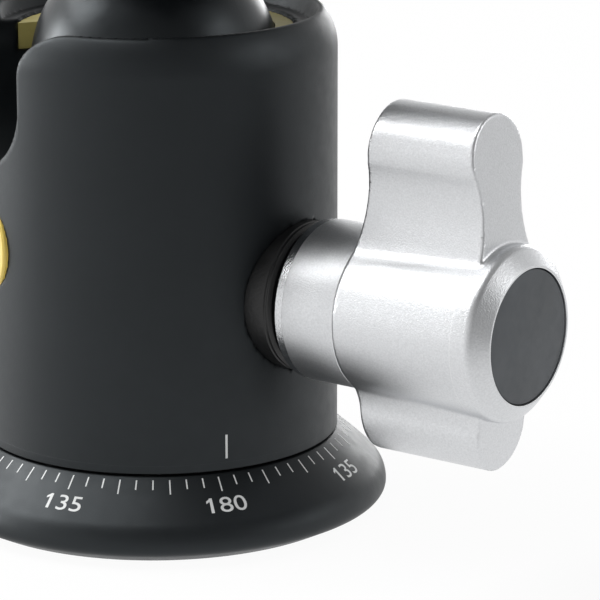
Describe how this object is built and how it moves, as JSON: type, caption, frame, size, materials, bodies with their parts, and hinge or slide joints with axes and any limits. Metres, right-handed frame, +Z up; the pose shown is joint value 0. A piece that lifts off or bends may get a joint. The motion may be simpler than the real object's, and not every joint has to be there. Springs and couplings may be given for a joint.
{
  "type": "tripod ball head",
  "caption": "Ball head with a drop-notch housing on a graduated panning base, wing lock knob, pan lock and a screw clamp with its camera plate.",
  "frame": {"origin": "centre of the base's underside, on the tripod screw's axis", "axes": "+Z up the pan axis, +X outward along the wing knob's axis, notch 120 degrees clockwise of it seen from above"},
  "size_m": [0.1008, 0.0745, 0.1227],
  "materials": {
    "housing_black": "satin black anodised",
    "ball_dark": "dark hard-anodised, low gloss",
    "silver_alloy": "satin silver anodised",
    "steel": "bright turned",
    "zinc_alloy": "plain machined",
    "black_screw": "black oxide",
    "brass": "plain machined",
    "yellow_ring": "yellow",
    "badge_plate": "satin",
    "black_plastic": "satin black",
    "grey_cap": "dark grey",
    "pale_plastic": "natural",
    "level_green": "clear green fluid",
    "plate_black": "satin black anodised",
    "pad_rubber": "fine ribbed"
  },
  "bodies": {
    "base": {"base_flange": "housing_black", "thread_insert": "steel", "thrust_washer": "pale_plastic", "hub_retainer": "zinc_alloy", "hub_screws": "black_screw"},
    "housing": {"housing_shell": "housing_black", "bearing_ring": "zinc_alloy", "ring_set_screw": "black_screw", "guide_block": "zinc_alloy", "disc_spring": "steel", "seal_ring": "yellow_ring", "badge_rim": "yellow_ring", "badge_face": "badge_plate", "knob_bushing": "black_plastic", "pan_bushing": "brass"},
    "lock_knob": {"lock_spindle": "steel", "knob_washer": "black_plastic", "knob_collar": "silver_alloy", "knob_body": "silver_alloy", "knob_screw": "black_screw", "knob_cap": "grey_cap"},
    "lock_wedge": {"wedge_plunger": "brass"},
    "lock_cup": {"push_pin": "steel", "pressure_cup": "zinc_alloy"},
    "ball_seat": {"seat_liner": "pale_plastic"},
    "ball_body": {"ball": "ball_dark"},
    "head": {"stem": "ball_dark", "stem_bolt": "black_screw", "clamp_body": "housing_black", "guide_pins": "steel", "level_cup": "pale_plastic", "level_vial": "level_green"},
    "jaw_body": {"moving_jaw": "housing_black"},
    "clamp_handle": {"clamp_screw": "steel", "clamp_washer": "pale_plastic", "clamp_knob": "silver_alloy", "clamp_cap": "grey_cap"},
    "plate_body": {"release_plate": "plate_black", "plate_pad": "pad_rubber", "screw_clip": "steel"},
    "camera_fastener": {"camera_screw": "steel"},
    "pan_brake": {"brake_pad": "pale_plastic"},
    "pan_handle": {"pan_stud": "steel", "pan_knob": "silver_alloy", "pan_cap": "grey_cap"}
  },
  "joints": [
    {"name": "pan", "type": "hinge", "parent": "base", "child": "housing", "pos_m": [0, 0, 0.018], "axis": [0, 0, 1], "continuous": true},
    {"name": "lock_turn", "type": "hinge", "parent": "housing", "child": "lock_knob", "pos_m": [0.03, 0, 0.036], "axis": [1, 0, 0], "range_deg": [0, 270]},
    {"name": "wedge_slide", "type": "slide", "parent": "housing", "child": "lock_wedge", "axis": [1, 0, 0], "range_m": [-0.00112, 0]},
    {"name": "cup_slide", "type": "slide", "parent": "housing", "child": "lock_cup", "axis": [0, 0, 1], "range_m": [-0.00035, 0]},
    {"name": "side_lean", "type": "hinge", "parent": "housing", "child": "ball_seat", "pos_m": [0, 0, 0.0671], "axis": [-0.5, -0.866, 0], "range_deg": [-25, 25]},
    {"name": "notch_lean", "type": "hinge", "parent": "ball_seat", "child": "ball_body", "pos_m": [0, 0, 0.0671], "axis": [0.866, -0.5, 0], "range_deg": [-25, 90]},
    {"name": "stem_spin", "type": "hinge", "parent": "ball_body", "child": "head", "pos_m": [0, 0, 0.0671], "axis": [0, 0, 1], "continuous": true},
    {"name": "jaw_slide", "type": "slide", "parent": "head", "child": "jaw_body", "axis": [1, 0, 0], "range_m": [0, 0.0032]},
    {"name": "clamp_turn", "type": "hinge", "parent": "jaw_body", "child": "clamp_handle", "pos_m": [0.03, 0, 0.103], "axis": [1, 0, 0], "range_deg": [0, 1440]},
    {"name": "plate_slide", "type": "slide", "parent": "head", "child": "plate_body", "axis": [0, 1, 0], "range_m": [-0.012, 0.012]},
    {"name": "camera_screw_turn", "type": "hinge", "parent": "plate_body", "child": "camera_fastener", "pos_m": [0, 0, 0.112], "axis": [0, 0, 1], "continuous": true},
    {"name": "pan_brake_slide", "type": "slide", "parent": "housing", "child": "pan_brake", "axis": [-0.5, 0.866, 0], "range_m": [0, 0.0006]},
    {"name": "pan_lock_turn", "type": "hinge", "parent": "pan_brake", "child": "pan_handle", "pos_m": [-0.015, 0.02598, 0.0186], "axis": [-0.5, 0.866, 0], "range_deg": [0, 270]}
  ],
  "couplings": [
    {"joint": "lock_turn", "follows": "wedge_slide", "rad_per_m": -4188.8},
    {"joint": "cup_slide", "follows": "wedge_slide", "ratio": 0.26795},
    {"joint": "clamp_turn", "follows": "jaw_slide", "rad_per_m": 7854},
    {"joint": "pan_lock_turn", "follows": "pan_brake_slide", "rad_per_m": 7854}
  ]
}
